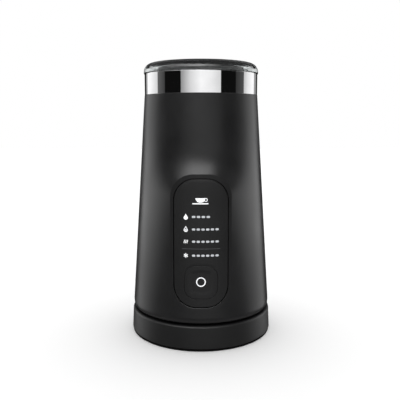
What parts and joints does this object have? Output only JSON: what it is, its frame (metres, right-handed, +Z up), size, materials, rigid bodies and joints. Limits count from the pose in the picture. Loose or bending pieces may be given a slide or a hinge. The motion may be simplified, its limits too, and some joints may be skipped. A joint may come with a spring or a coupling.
{
  "type": "milk frother",
  "caption": "Cordless electric milk frother: a tapered black jug with a raised touch panel, bright steel collar and clear lid, standing on a round power base.",
  "frame": {"origin": "on the table under the middle of the power base", "axes": "+Z up along the jug's axis, -Y towards the front with the control panel, +X to the right as seen from the front"},
  "size_m": [0.11, 0.11, 0.2075],
  "materials": {
    "matte_black_abs": "fine textured moulded ABS",
    "base_black_abs": "satin moulded ABS",
    "panel_pc": "satin coated polycarbonate",
    "button_pc": "satin coated polycarbonate",
    "light_white": "white diffusing polycarbonate",
    "mirror_steel": "mirror polished stainless steel",
    "drawn_steel": "drawn stainless steel",
    "coated_steel": "dark non-stick coating",
    "clear_tritan": "clear polished copolyester",
    "black_silicone": "moulded silicone rubber",
    "black_rubber": "moulded rubber",
    "nylon_black": "glass-filled nylon",
    "nylon_white": "moulded nylon",
    "aluminium_plate": "pressed aluminium",
    "brass_contact": "tinned brass",
    "screw_steel": "zinc plated steel",
    "board_green": "glass fibre laminate",
    "component_dark": "moulded epoxy",
    "clear_pmma": "clear acrylic",
    "magnet_nickel": "nickel plated magnet"
  },
  "bodies": {
    "base": {"base_shell": "base_black_abs", "base_plate": "base_black_abs", "base_screws": "screw_steel", "rubber_feet": "black_rubber", "cord_grommet": "black_rubber", "base_socket": "nylon_black", "base_contacts": "brass_contact"},
    "jug": {"jug_body": "matte_black_abs", "steel_collar": "mirror_steel", "cup_gasket": "black_silicone", "inner_cup": "coated_steel", "whisk_post": "drawn_steel", "heater_plate": "aluminium_plate", "heating_element": "drawn_steel", "temperature_sensor": "component_dark", "motor_can": "drawn_steel", "motor_damper": "black_rubber", "motor_bracket": "nylon_white", "bracket_screws": "screw_steel", "jug_cover": "base_black_abs", "cover_screws": "screw_steel", "jug_plug": "nylon_black", "plug_contacts": "brass_contact", "power_board": "board_green", "board_components": "component_dark", "control_panel": "panel_pc", "display_board": "board_green", "indicator_leds": "light_white", "light_pipes": "clear_pmma", "switch_housing": "component_dark"},
    "start_button": {"start_button": "button_pc", "button_light_ring": "light_white", "switch_plunger": "nylon_white"},
    "lid": {"lid_cover": "clear_tritan", "lid_seal": "black_silicone"},
    "drive_rotor": {"motor_shaft": "drawn_steel", "magnet_carrier": "nylon_white", "drive_magnets": "magnet_nickel"},
    "whisk": {"whisk_hub": "nylon_black", "whisk_ring": "drawn_steel", "whisk_magnets": "magnet_nickel"}
  },
  "joints": [
    {"name": "jug_lift", "type": "slide", "parent": "base", "child": "jug", "axis": [0, 0, 1], "range_m": [0, 0.06]},
    {"name": "lid_lift", "type": "slide", "parent": "jug", "child": "lid", "axis": [0, 0, 1], "range_m": [0, 0.05]},
    {"name": "button_press", "type": "slide", "parent": "jug", "child": "start_button", "axis": [0, 1, 0], "range_m": [0, 0.0006], "stiffness_N_per_m": 2500},
    {"name": "rotor_spin", "type": "hinge", "parent": "jug", "child": "drive_rotor", "pos_m": [0, 0, 0.0848], "axis": [0, 0, 1], "continuous": true},
    {"name": "whisk_spin", "type": "hinge", "parent": "jug", "child": "whisk", "pos_m": [0, 0, 0.0933], "axis": [0, 0, 1], "continuous": true}
  ],
  "couplings": [
    {"joint": "rotor_spin", "follows": "whisk_spin", "ratio": 1}
  ]
}
